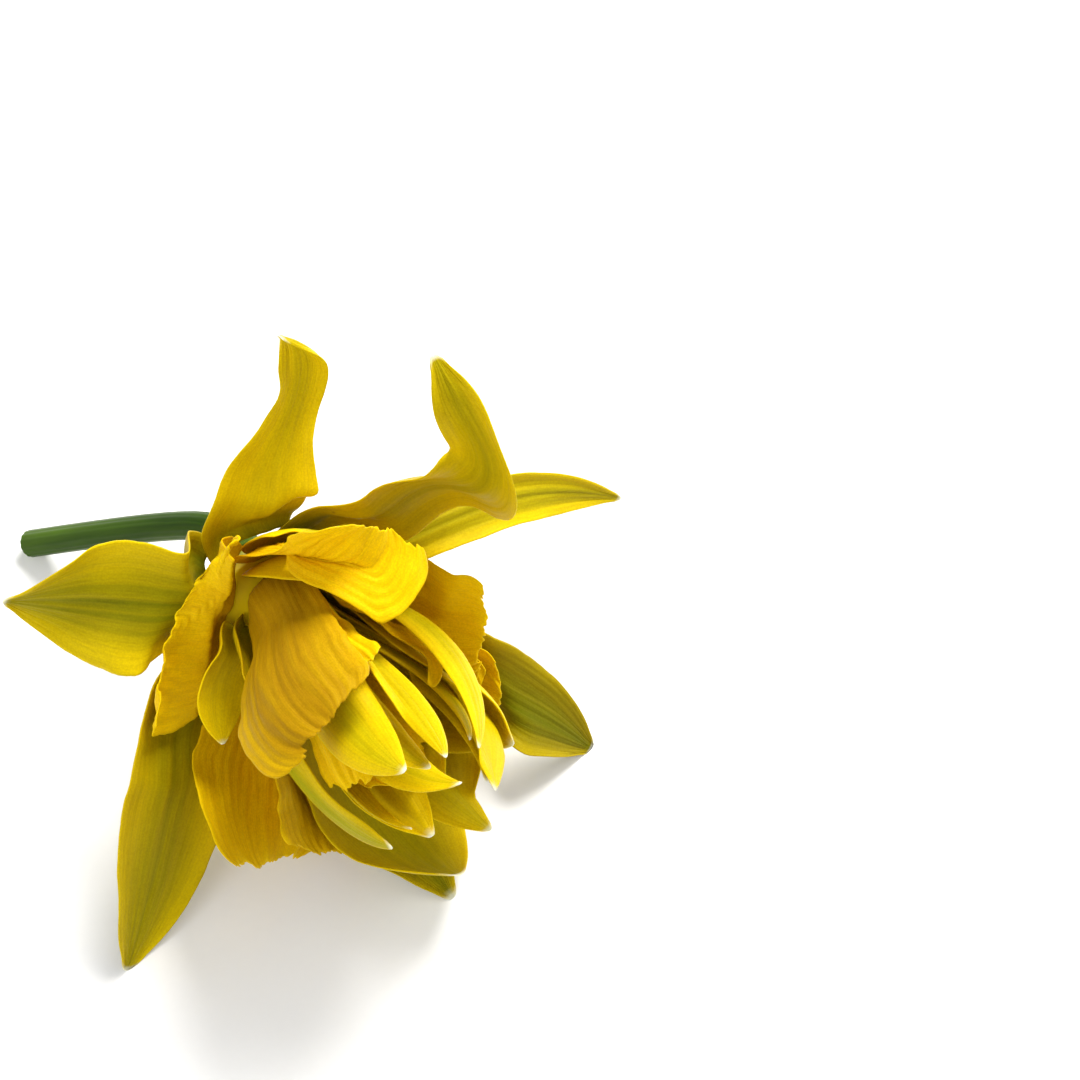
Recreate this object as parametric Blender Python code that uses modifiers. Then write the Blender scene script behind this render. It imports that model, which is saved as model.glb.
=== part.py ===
"""Daffodil flower: one double bloom cut with a short stalk and laid on its side.

The petals sit on a domed receptacle round the flower's axis.  Each one is a lofted sheet,
set from the heart outwards so that it lies over the ones already placed with a gap between.
Lengths in the tables are millimetres and angles are degrees; the model is in metres, +Z up,
resting on z = 0 with the cut end of the stalk and the tips of the lowest tepals.
"""
import math
from collections import namedtuple

import bpy
import numpy as np
from mathutils import Matrix

MM = 0.001

# ---- the flower's axis and where its throat stands ----
AXIS_RISE = 6.0             # tilt of the axis above level
AXIS_RIGHT = 0.575          # share of the axis that points along +X
THROAT = (-2.07, 6.36, 29.6)  # middle of the throat above the floor

# ---- receptacle, tube, ovary ----
DOME = 10.0                 # radius of the dome that carries the petals
DOME_EDGE = 62.0            # polar angle where the dome turns into the tube
TUBE_FLANK = ((7.7, 2.4), (5.8, 0.4), (4.2, -1.0), (3.4, -1.9))
OVARY = ((0.0, -2.2), (3.2, -2.2), (3.8, -3.5), (3.8, -5.1), (3.1, -6.9), (2.2, -7.8), (0.0, -7.8))
TURN_STEPS = 28

# ---- stalk ----
STALK_RADIUS = 2.15
STALK_TOP = 8.4             # start of the stalk behind the dome's centre
STALK_NECK = 3.0            # how far it goes straight back before it has bent
STALK_END = (-43.0, 27.85, -27.92)
STALK_REACH = 24.0
STALK_POINTS = 12

# ---- petals ----
THICKNESS = 0.45
CLEARANCE = 0.55            # from the top of the sheet below to the middle of this one
SEAT_GAP = 0.4
ROWS = 24
COLS = 12
ROW_STEP = 2
COL_STEP = 2
NARROW = 8.5
COL_STEP_NARROW = 3
TIP_SHARE = 0.1

# ---- the map of what is already placed ----
MAP_AZIMUTHS = 180
MAP_START = 9.0
MAP_STEP = 0.6
MAP_SIZE = 140
MAP_SPREAD = (-0.6, -0.3, 0.0, 0.3, 0.6)

Shape = namedtuple("Shape", "base widest point pinch")
Petal = namedtuple("Petal", "name shape azimuth seat length width lean sway roll cup")

OUTER = Shape(0.42, 0.5, 1.9, (1.0, 1.0))
TWISTED = Shape(0.6, 0.3, 1.7, (1.0, 1.0, 0.8, 0.55, 0.8, 1.0))
INNER = Shape(0.35, 0.6, 1.9, (1.0, 1.0))
CORONA = Shape(0.35, 0.75, 4.0, (1.0, 1.0))

# from the heart of the flower outwards: azimuth, seat, length, width, then lean, sway, roll, cup
PETALS = (
    Petal("tepal_centre", INNER, 85, 8, 44, 8.5,
          (2, 0, 40), (-2, -2, 26), (0, 14, 14), (60, 60, 60)),
    Petal("corona_heart_left", CORONA, 16, 6, 29, 9,
          (10, 8, 12), (0, 0, 0), (0, 0, 0), (90, 80, 70)),
    Petal("corona_heart_right", CORONA, 222, 6, 29, 9,
          (13, 13, 15), (0, 0, 0), (0, 0, 0), (90, 80, 70)),
    Petal("corona_heart_low", CORONA, 285, 6, 32, 9,
          (10, 6, 12), (0, 0, 0), (0, 0, 0), (90, 80, 70)),
    Petal("tepal_heart", INNER, 235, 10, 34, 7,
          (12, 8, 4), (0, 0, 0), (0, 0, 0), (80, 70, 60)),
    Petal("corona_mouth_left", CORONA, 37, 13, 35, 11,
          (26, 12, -16), (6, 0, -36), (0, 4, 14), (60, 60, 60)),
    Petal("tepal_mouth_left", INNER, 322, 15, 38, 5,
          (18, 20, -36), (-2, -14, 6), (0, -8, -8), (60, 60, 60)),
    Petal("tepal_front_narrow", INNER, 85, 15, 41.5, 7,
          (10, 12, 22), (0, -4, 12), (0, 14, 2), (70, 70, 60)),
    Petal("tepal_slim_right", INNER, 132, 14, 37.5, 3,
          (20, 8, 0), (12, 20, -40), (0, -2, 0), (60, 60, 60)),
    Petal("tepal_mouth_right", INNER, 154, 15, 40.5, 6.5,
          (16, 12, -30), (8, 32, -26), (0, -12, -14), (70, 70, 60)),
    Petal("tepal_mouth_far", INNER, 173, 15, 42, 10.5,
          (22, 14, -26), (4, 12, -8), (0, -6, -14), (70, 70, 60)),
    Petal("tepal_mouth_base", INNER, 211, 15, 36, 9,
          (20, 14, 0), (0, 0, 0), (0, 0, 0), (80, 70, 60)),
    Petal("tepal_mouth_under", INNER, 275, 15, 38, 9,
          (18, 14, 0), (0, 0, 0), (0, 0, 0), (80, 70, 60)),
    Petal("tepal_mouth_low", INNER, 232, 18, 41.5, 12.5,
          (16, 16, 36), (-2, 10, 0), (0, -10, -12), (70, 70, 75)),
    Petal("tepal_front", INNER, 64, 15, 45.5, 10,
          (14, 24, 22), (2, 0, 18), (0, 16, 2), (80, 85, 60)),
    Petal("tepal_front_upper", INNER, 103, 15, 47, 5,
          (22, 16, 28), (8, -4, -22), (0, 0, 2), (70, 70, 60)),
    Petal("corona_front_right", CORONA, 127, 18, 28.5, 3,
          (28, 6, -12), (8, 20, -16), (0, 4, -6), (60, 60, 40)),
    Petal("tepal_long_right", INNER, 145, 19, 45.5, 5,
          (56, 6, -24), (12, 0, -34), (0, -26, 2), (70, 70, 60)),
    Petal("corona_front_upper", CORONA, 85, 18, 29, 7,
          (32, 30, 22), (-2, 4, 12), (0, 0, -2), (60, 60, 40)),
    Petal("corona_front", CORONA, 66, 18, 38.5, 21.5,
          (58, 30, -4), (8, -12, 20), (0, 0, 12), (80, 75, 60)),
    Petal("tepal_edge_left", INNER, 4, 20, 45.5, 9,
          (54, 0, -18), (12, -16, 30), (0, 0, 0), (70, 70, 60)),
    Petal("tepal_inner_right", INNER, 137, 24, 20.5, 22.5,
          (52, 46, 56), (-52, 46, 74), (0, 18, 32), (70, 80, 70)),
    Petal("tepal_inner_left", INNER, 335, 24, 20, 10.5,
          (80, 60, 14), (58, 2, -16), (-2, -6, -24), (90, 70, 50)),
    Petal("tepal_inner_bottom", INNER, 274, 24, 49, 24,
          (50, 38, -42), (-12, 4, -16), (0, 12, 24), (60, 50, 45)),
    Petal("corona_upper_right", CORONA, 115, 25, 29.5, 19.5,
          (22, 66, 106), (-40, 10, 24), (18, 76, -8), (55, 60, 50)),
    Petal("tepal_inner_top", INNER, 110, 24, 12, 12,
          (50, 82, 98), (0, 16, -2), (0, -10, -4), (50, 45, 30)),
    Petal("corona_right", CORONA, 193, 25, 27.5, 23,
          (30, 48, 38), (18, -10, -4), (-2, 12, 22), (60, 60, 60)),
    Petal("corona_ring_far", CORONA, 224, 25, 29, 14,
          (36, 32, 26), (0, 0, 0), (0, 0, 0), (60, 60, 40)),
    Petal("corona_ring_under", CORONA, 258, 25, 29, 15,
          (36, 32, 24), (0, 0, 0), (0, 0, 0), (60, 60, 40)),
    Petal("corona_bottom", CORONA, 294, 25, 35.5, 23,
          (40, 42, 36), (-2, -8, 22), (0, 2, -2), (60, 50, 35)),
    Petal("corona_bottom_left", CORONA, 300, 25, 36.5, 29,
          (80, 42, 48), (-24, 20, 2), (-4, -16, 22), (60, 45, 50)),
    Petal("corona_lower_right", CORONA, 200, 25, 34, 16.5,
          (42, 46, 16), (8, 22, -18), (0, -4, -10), (60, 50, 40)),
    Petal("corona_left", CORONA, 32, 25, 15, 34,
          (68, 120, 76), (-8, -12, 26), (0, -4, -18), (50, 45, 60)),
    Petal("tepal_upper_right", OUTER, 126, 36, 57.5, 14,
          (58, 98, 34, 122, 140), (26, 40, -2, -36, -22), (-2, 12, 26, 88, 16), (40, 35, 40)),
    Petal("tepal_bottom", OUTER, 268, 36, 46.5, 16.5,
          (46, 38, 22), (4, 0, -4), (0, -2, 0), (50, 50, 45)),
    Petal("tepal_lower_left", OUTER, 332, 36, 52.5, 19,
          (76, 64, 70), (16, -14, -16), (-4, -16, -8), (50, 40, 45)),
    Petal("tepal_lower_right", OUTER, 227, 36, 51.5, 16.5,
          (26, 58, 72), (-12, -2, 14), (-2, 36, 32), (50, 55, 40)),
    Petal("tepal_up", TWISTED, 93, 36, 42, 17.5,
          (118, 116, 82), (-4, 32, 34, -48), (2, 20, 4, 74), (40, 45, 75)),
    Petal("tepal_right", OUTER, 181, 36, 53.5, 8.5,
          (78, 88, 74), (-16, 16, 40), (0, 58, 18), (60, 40, 40)),
    Petal("tepal_left", OUTER, 30, 36, 35, 20.5,
          (96, 134, 106), (8, -18, -6), (-14, -20, 26), (40, 35, 30)),
)

FINISHES = {
    "corona": ("petal_corona", (0.90, 0.50, 0.03, 1.0), 0.55),
    "tepal": ("petal_tepal", (0.82, 0.66, 0.05, 1.0), 0.5),
    "perianth_tube": ("tube_green", (0.42, 0.50, 0.08, 1.0), 0.5),
    "ovary": ("ovary_green", (0.22, 0.36, 0.06, 1.0), 0.5),
    "flower_stalk": ("stalk_green", (0.08, 0.20, 0.05, 1.0), 0.45),
}


def flower_frame():
    """Columns are the flower's side, up and axis directions in the world."""
    rise = math.sin(math.radians(AXIS_RISE))
    axis = np.array([AXIS_RIGHT, -math.sqrt(1.0 - AXIS_RIGHT ** 2 - rise ** 2), rise])
    side = np.array([axis[1], -axis[0], 0.0])
    side /= np.linalg.norm(side)
    up = np.array([0.0, 0.0, 1.0]) - rise * axis
    up /= np.linalg.norm(up)
    return np.stack([side, up, axis], axis=1)


def to_world(points):
    """From the dome's centre and the flower's directions, mm, to the world, metres."""
    moved = (np.asarray(points) - np.array([0.0, 0.0, DOME])) @ flower_frame().T
    return (moved + np.array(THROAT)) * MM


def unit(vectors):
    return vectors / np.linalg.norm(vectors, axis=-1, keepdims=True)


def along(values, u):
    """A smooth curve through evenly spaced stations, read at u in 0..1."""
    values = np.asarray(values, float)
    if len(values) == 2:
        return values[0] + (values[1] - values[0]) * u
    ends = np.concatenate([[2 * values[0] - values[1]], values, [2 * values[-1] - values[-2]]])
    x = np.clip(u, 0, 1) * (len(values) - 1)
    i = np.minimum(x.astype(int), len(values) - 2)
    t = x - i
    a, b, c, d = ends[i], ends[i + 1], ends[i + 2], ends[i + 3]
    cubic = (3 * b - a - 3 * c + d) * t ** 3
    return 0.5 * (2 * b + (c - a) * t + (2 * a - 5 * b + 4 * c - d) * t ** 2 + cubic)


def outline(shape, u):
    """Share of the full width at each place along the petal."""
    rise = shape.base + (1 - shape.base) * np.sin(0.5 * math.pi * np.clip(u / shape.widest, 0, 1))
    fall = (1 - np.clip((u - shape.widest) / (1 - shape.widest), 0, 1) ** shape.point) ** 0.8
    share = np.where(u < shape.widest, rise, fall) * along(shape.pinch, u)
    return np.maximum(share, TIP_SHARE)


def petal_sheet(petal):
    """Grid of points over the middle of a petal, about the dome's centre."""
    fine = np.linspace(0, 1, 61)
    lean = np.radians(along(petal.lean, fine))
    sway = np.radians(along(petal.sway, fine))
    roll = np.radians(along(petal.roll, fine))
    azimuth = math.radians(petal.azimuth)
    outward = np.array([math.cos(azimuth), math.sin(azimuth), 0.0])
    around = np.array([-math.sin(azimuth), math.cos(azimuth), 0.0])
    axis = np.array([0.0, 0.0, 1.0])
    rise = np.cos(lean)[:, None] * axis + np.sin(lean)[:, None] * outward
    tangent = np.cos(sway)[:, None] * rise + np.sin(sway)[:, None] * around
    seat = math.radians(petal.seat)
    start = (DOME + SEAT_GAP) * (math.sin(seat) * outward + math.cos(seat) * axis)
    steps = 0.5 * (tangent[1:] + tangent[:-1]) * (petal.length / 60)
    rib = np.concatenate([[start], start + np.cumsum(steps, axis=0)])
    flat = unit(around - (tangent @ around)[:, None] * tangent)
    inward = np.cross(tangent, flat)
    across = np.cos(roll)[:, None] * flat + np.sin(roll)[:, None] * inward
    inward = np.cos(roll)[:, None] * inward - np.sin(roll)[:, None] * flat
    u = np.linspace(0, 1, ROWS + 1)
    rib, across, inward = (
        np.stack([np.interp(u, fine, part[:, k]) for k in range(3)], axis=1)
        for part in (rib, across, inward)
    )
    across, inward = unit(across), unit(inward)
    half = 0.5 * petal.width * outline(petal.shape, u)
    arc = np.radians(along(petal.cup, u))
    turn = np.linspace(-0.5, 0.5, COLS + 1)[None, :] * arc[:, None]
    radius = (2 * half / arc)[:, None]
    sheet = (rib[:, None, :] + across[:, None, :] * (radius * np.sin(turn))[:, :, None]
             + inward[:, None, :] * (radius * (1 - np.cos(turn)))[:, :, None])
    reach = np.linalg.norm(sheet, axis=2)
    seated = (DOME + SEAT_GAP - reach[0])[None, :] * ((1 - u) ** 4)[:, None]
    return sheet * ((reach + seated) / reach)[:, :, None]


def polar(points):
    """Distance, polar angle from the axis and azimuth of each point."""
    reach = np.linalg.norm(points, axis=-1)
    angle = np.arccos(np.clip(points[..., 2] / reach, -1, 1))
    return reach, angle, np.arctan2(points[..., 1], points[..., 0])


def from_polar(reach, angle, azimuth):
    flat = reach * np.sin(angle)
    return np.stack([flat * np.cos(azimuth), flat * np.sin(azimuth), reach * np.cos(angle)], axis=-1)


def neighbours(field):
    """The field shifted over a three by three window."""
    padded = np.pad(field, ((1, 1), (1, 1)), mode="edge")
    rows, cols = field.shape
    return np.stack([padded[a:a + rows, b:b + cols] for a in range(3) for b in range(3)])


def read_map(placed, reach, azimuth):
    """Polar angle already taken at each azimuth and distance."""
    x = np.mod(azimuth / (2 * math.pi) * MAP_AZIMUTHS, MAP_AZIMUTHS)
    y = np.clip((reach - MAP_START) / MAP_STEP, 0, MAP_SIZE - 1.001)
    i = x.astype(int) % MAP_AZIMUTHS
    j = y.astype(int)
    a, b = x - np.floor(x), y - j
    k = (i + 1) % MAP_AZIMUTHS
    near = (1 - a) * placed[i, j] + a * placed[k, j]
    far = (1 - a) * placed[i, j + 1] + a * placed[k, j + 1]
    return (1 - b) * near + b * far


def drape(placed, sheet):
    """Open the sheet wherever it would meet what is already placed."""
    reach, angle, azimuth = polar(sheet)
    taken = read_map(placed, reach, azimuth)
    least = np.where(taken > 0, taken + CLEARANCE / reach, 0)
    lift = np.maximum(least - angle, 0)
    eased = neighbours(neighbours(lift).max(axis=0)).mean(axis=0)
    return from_polar(reach, angle + eased, azimuth)


def refine(sheet):
    """Halve the spacing of a grid both ways."""
    rows = np.empty((2 * sheet.shape[0] - 1,) + sheet.shape[1:])
    rows[::2] = sheet
    rows[1::2] = 0.5 * (sheet[1:] + sheet[:-1])
    fine = np.empty((rows.shape[0], 2 * rows.shape[1] - 1, 3))
    fine[:, ::2] = rows
    fine[:, 1::2] = 0.5 * (rows[:, 1:] + rows[:, :-1])
    return fine


def add_to_map(placed, sheet):
    """Record the upper face of a sheet, one cell wider all round."""
    reach, angle, azimuth = polar(refine(refine(sheet)))
    turn = np.array(MAP_SPREAD)[:, None, None] / np.maximum(reach * np.sin(angle), 1.0)
    angle = angle + 0.5 * THICKNESS / reach
    i = np.round((azimuth + turn) / (2 * math.pi) * MAP_AZIMUTHS).astype(int) % MAP_AZIMUTHS
    j = np.clip(np.round((reach - MAP_START) / MAP_STEP).astype(int), 0, MAP_SIZE - 1)
    layer = np.zeros_like(placed)
    np.maximum.at(layer, (i, np.broadcast_to(j, i.shape)), np.broadcast_to(angle, i.shape))
    wide = layer
    for aside in (-1, 0, 1):
        for ahead in (-1, 0, 1):
            wide = np.maximum(wide, np.roll(layer, (aside, ahead), axis=(0, 1)))
    return np.maximum(placed, wide)


def clean_scene():
    for item in list(bpy.data.objects):
        bpy.data.objects.remove(item, do_unlink=True)


def material(kind):
    name, colour, roughness = FINISHES[kind]
    found = bpy.data.materials.get(name)
    if found:
        return found
    made = bpy.data.materials.new(name)
    made.use_nodes = True
    made.diffuse_color = colour
    shader = made.node_tree.nodes["Principled BSDF"]
    shader.inputs["Base Color"].default_value = colour
    shader.inputs["Roughness"].default_value = roughness
    shader.inputs["Metallic"].default_value = 0.0
    return made


def add_object(collection, name, data, kind):
    item = bpy.data.objects.new(name, data)
    data.materials.append(material(kind))
    collection.objects.link(item)
    return item


def rest_on_floor(points):
    """The tips that would dip below the floor lie flat on it."""
    points[..., 2] = np.maximum(points[..., 2], 0.5 * THICKNESS * MM)
    return points


def add_petal(collection, petal, sheet):
    """The lofted sheet, thickened evenly about its middle."""
    points = rest_on_floor(to_world(sheet))
    rows, cols = points.shape[:2]
    faces = [
        (r * cols + c, r * cols + c + 1, (r + 1) * cols + c + 1, (r + 1) * cols + c)
        for r in range(rows - 1) for c in range(cols - 1)
    ]
    mesh = bpy.data.meshes.new(petal.name)
    mesh.from_pydata(points.reshape(-1, 3).tolist(), [], faces)
    kind = "corona" if petal.shape is CORONA else "tepal"
    item = add_object(collection, petal.name, mesh, kind)
    shell = item.modifiers.new("thickness", "SOLIDIFY")
    shell.thickness = THICKNESS * MM
    shell.offset = 0.0
    shell.use_even_offset = False


def add_turned(collection, name, profile):
    """A profile of radius and height turned about the flower's axis."""
    mesh = bpy.data.meshes.new(name)
    mesh.from_pydata([(r * MM, 0.0, h * MM) for r, h in profile], [],
                     [(i, i + 1) for i in range(len(profile) - 1)])
    item = add_object(collection, name, mesh, name)
    turn = item.modifiers.new("turn", "SCREW")
    turn.steps = TURN_STEPS
    turn.render_steps = TURN_STEPS
    turn.use_merge_vertices = True
    turn.merge_threshold = 0.00001
    turn.use_normal_flip = True
    side, up, axis = flower_frame().T
    frame = np.eye(4)
    frame[:3, :3] = np.stack([-side, up, axis], axis=1)
    frame[:3, 3] = to_world([0.0, 0.0, 0.0])
    item.matrix_world = Matrix(frame.tolist())


def tube_profile():
    """Dome over the top, then the flank down to the ovary and a flat foot."""
    angles = np.radians(np.linspace(0, DOME_EDGE, 10))
    cap = [(DOME * math.sin(a), DOME * math.cos(a)) for a in angles]
    return cap + list(TUBE_FLANK) + [(0.0, TUBE_FLANK[-1][1])]


def stalk_points():
    """Out of the ovary along the axis, bending down to the cut end on the floor."""
    top = np.array([0.0, 0.0, -STALK_TOP])
    neck = top - np.array([0.0, 0.0, STALK_NECK])
    end = (np.array(STALK_END) @ flower_frame()) + np.array([0.0, 0.0, DOME])
    ease = end + STALK_REACH * unit(neck - end)
    t = np.linspace(0, 1, STALK_POINTS)[:, None]
    curve = (1 - t) ** 3 * top + 3 * (1 - t) ** 2 * t * neck + 3 * (1 - t) * t ** 2 * ease + t ** 3 * end
    return to_world(curve)


def add_stalk(collection):
    curve = bpy.data.curves.new("flower_stalk", "CURVE")
    curve.dimensions = "3D"
    curve.bevel_depth = STALK_RADIUS * MM
    curve.bevel_resolution = 3
    curve.use_fill_caps = True
    points = stalk_points()
    spline = curve.splines.new("POLY")
    spline.points.add(len(points) - 1)
    for point, place in zip(spline.points, points):
        point.co = (*place, 1.0)
    add_object(collection, "flower_stalk", curve, "flower_stalk")


def main():
    clean_scene()
    collection = bpy.data.collections.new("daffodil_flower")
    bpy.context.scene.collection.children.link(collection)
    add_turned(collection, "perianth_tube", tube_profile())
    add_turned(collection, "ovary", OVARY)
    add_stalk(collection)
    placed = np.zeros((MAP_AZIMUTHS, MAP_SIZE))
    for petal in PETALS:
        sheet = drape(placed, petal_sheet(petal))
        placed = add_to_map(placed, sheet)
        step = COL_STEP_NARROW if petal.width < NARROW else COL_STEP
        add_petal(collection, petal, sheet[::ROW_STEP, ::step])


main()
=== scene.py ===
"""A cut double daffodil lying on its side: petals, receptacle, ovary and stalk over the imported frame.

Lengths in the tables are millimetres and angles are degrees.  The flower's own directions are
its side, its upward side and its axis, which points out of the mouth.
"""
from __future__ import annotations

import logging
import math
from dataclasses import dataclass, field
from enum import Enum

import bpy
import numpy as np
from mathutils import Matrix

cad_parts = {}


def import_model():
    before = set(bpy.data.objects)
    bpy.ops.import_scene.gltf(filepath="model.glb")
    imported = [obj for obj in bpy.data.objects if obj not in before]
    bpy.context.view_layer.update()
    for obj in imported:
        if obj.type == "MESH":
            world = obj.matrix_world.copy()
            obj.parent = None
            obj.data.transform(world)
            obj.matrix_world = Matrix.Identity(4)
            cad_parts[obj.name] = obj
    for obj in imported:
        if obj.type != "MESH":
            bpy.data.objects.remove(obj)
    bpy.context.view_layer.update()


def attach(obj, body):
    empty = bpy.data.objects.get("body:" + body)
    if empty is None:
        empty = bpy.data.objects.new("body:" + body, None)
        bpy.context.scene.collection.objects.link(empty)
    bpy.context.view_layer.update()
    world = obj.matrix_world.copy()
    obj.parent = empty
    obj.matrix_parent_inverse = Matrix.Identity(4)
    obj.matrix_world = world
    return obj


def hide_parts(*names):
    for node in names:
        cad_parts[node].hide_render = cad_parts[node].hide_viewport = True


MM = 0.001
LOG = logging.getLogger("daffodil_flower")
Array = np.ndarray
Colour = tuple[float, float, float, float]

GRAIN_SHADE = (0.55, 0.47, 0.10, 1.0)
FIBRE_SHADE = (0.45, 0.36, 0.04, 1.0)
PATCH_SHADE = (0.72, 0.60, 0.10, 1.0)
PETAL_SPECK = (0.10, 0.045, 0.005, 1.0)
STEM_SPECK = (0.05, 0.04, 0.01, 1.0)


class Habit(Enum):
    """How a petal grows, which settles its outline, relief and colours."""

    OUTER = "outer tepal"
    TWISTED = "twisted outer tepal"
    INNER = "inner tepal"
    CORONA = "corona segment"


@dataclass(frozen=True)
class Outline:
    """Share of a petal's full width along its length.

    Args:
        base: share of the width at the base.
        widest: place along the petal where it is widest.
        point: higher is blunter towards the tip.
        pinch: stations of a factor on the width.
    """

    base: float
    widest: float
    point: float
    pinch: tuple[float, ...] = (1.0, 1.0)


OUTLINES = {
    Habit.OUTER: Outline(0.42, 0.5, 1.9),
    Habit.TWISTED: Outline(0.6, 0.3, 1.7, (1.0, 1.0, 0.8, 0.55, 0.8, 1.0)),
    Habit.INNER: Outline(0.35, 0.6, 1.9),
    Habit.CORONA: Outline(0.35, 0.75, 4.0),
}


@dataclass(frozen=True)
class Petal:
    """One petal's design: where it sits and how it leans, sways, rolls and cups.

    Args:
        name: the CAD node it stands for.
        habit: how it grows.
        azimuth: direction round the flower's axis.
        seat: polar angle of its base on the dome.
        length: along the midrib.
        width: at its widest.
        lean: stations of the midrib's angle from the axis.
        sway: stations of its sideways angle.
        roll: stations of its turn about the midrib.
        cup: stations of the arc across it.
    """

    name: str
    habit: Habit
    azimuth: float
    seat: float
    length: float
    width: float
    lean: tuple[float, ...]
    sway: tuple[float, ...]
    roll: tuple[float, ...]
    cup: tuple[float, ...]


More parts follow.
